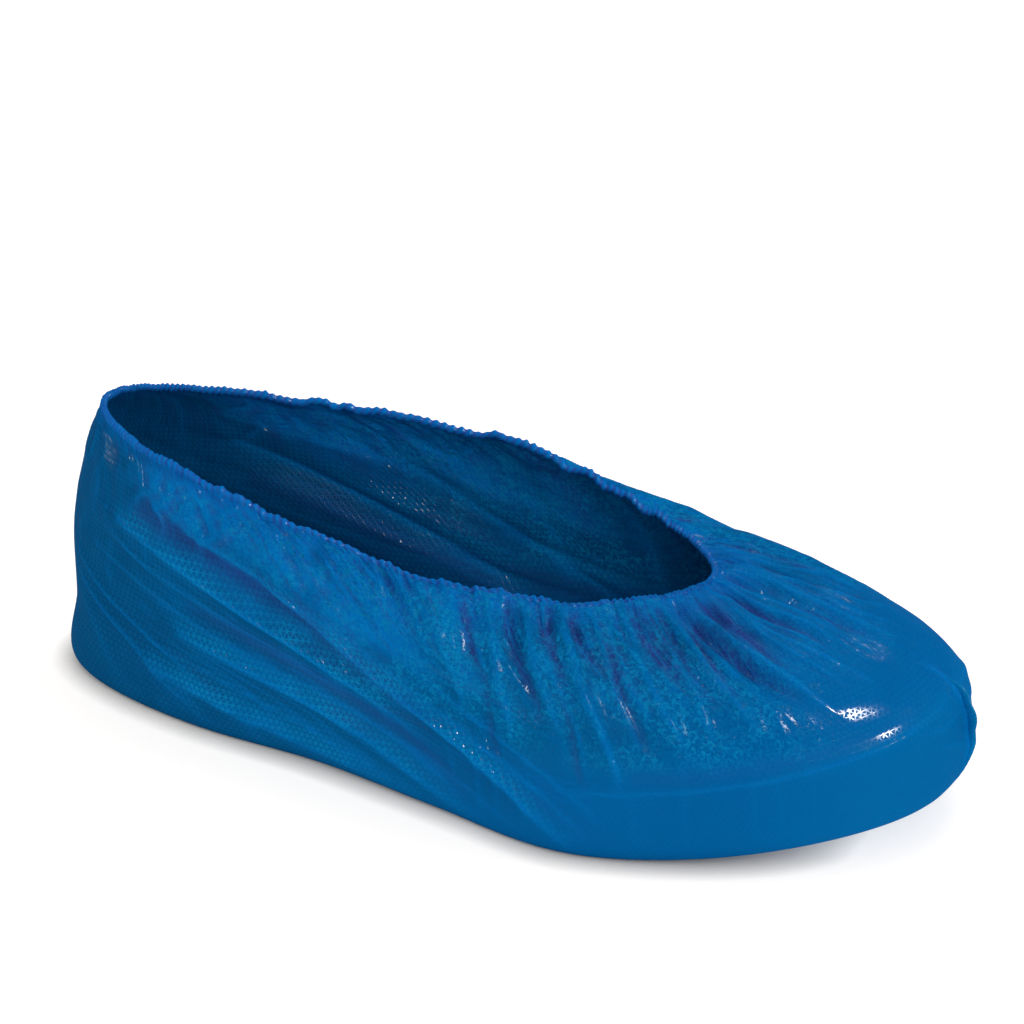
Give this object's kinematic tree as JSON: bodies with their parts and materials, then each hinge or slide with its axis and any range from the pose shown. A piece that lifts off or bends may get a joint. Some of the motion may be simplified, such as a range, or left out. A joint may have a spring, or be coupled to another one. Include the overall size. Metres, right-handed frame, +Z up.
{
  "type": "disposable shoe cover",
  "caption": "Thin blue plastic film shoe cover in its worn form: a gathered bag with an elastic ankle hem and a weld at the toe.",
  "frame": {"origin": "seat of the foot: the top face of the sole film at the middle of the length, where the shoe inside rests", "axes": "+X towards the toe, -Y to the outer side of the foot, +Z up through the ankle opening"},
  "size_m": [0.2941, 0.1143, 0.0896],
  "materials": {
    "film": "embossed blue polyethylene film, soft gloss",
    "hem": "same film, bunched round an elastic thread",
    "weld": "same film, heat-welded and crimped"
  },
  "bodies": {
    "root": {"film_cover": "film", "elastic_hem": "hem", "toe_weld": "weld"}
  },
  "joints": []
}
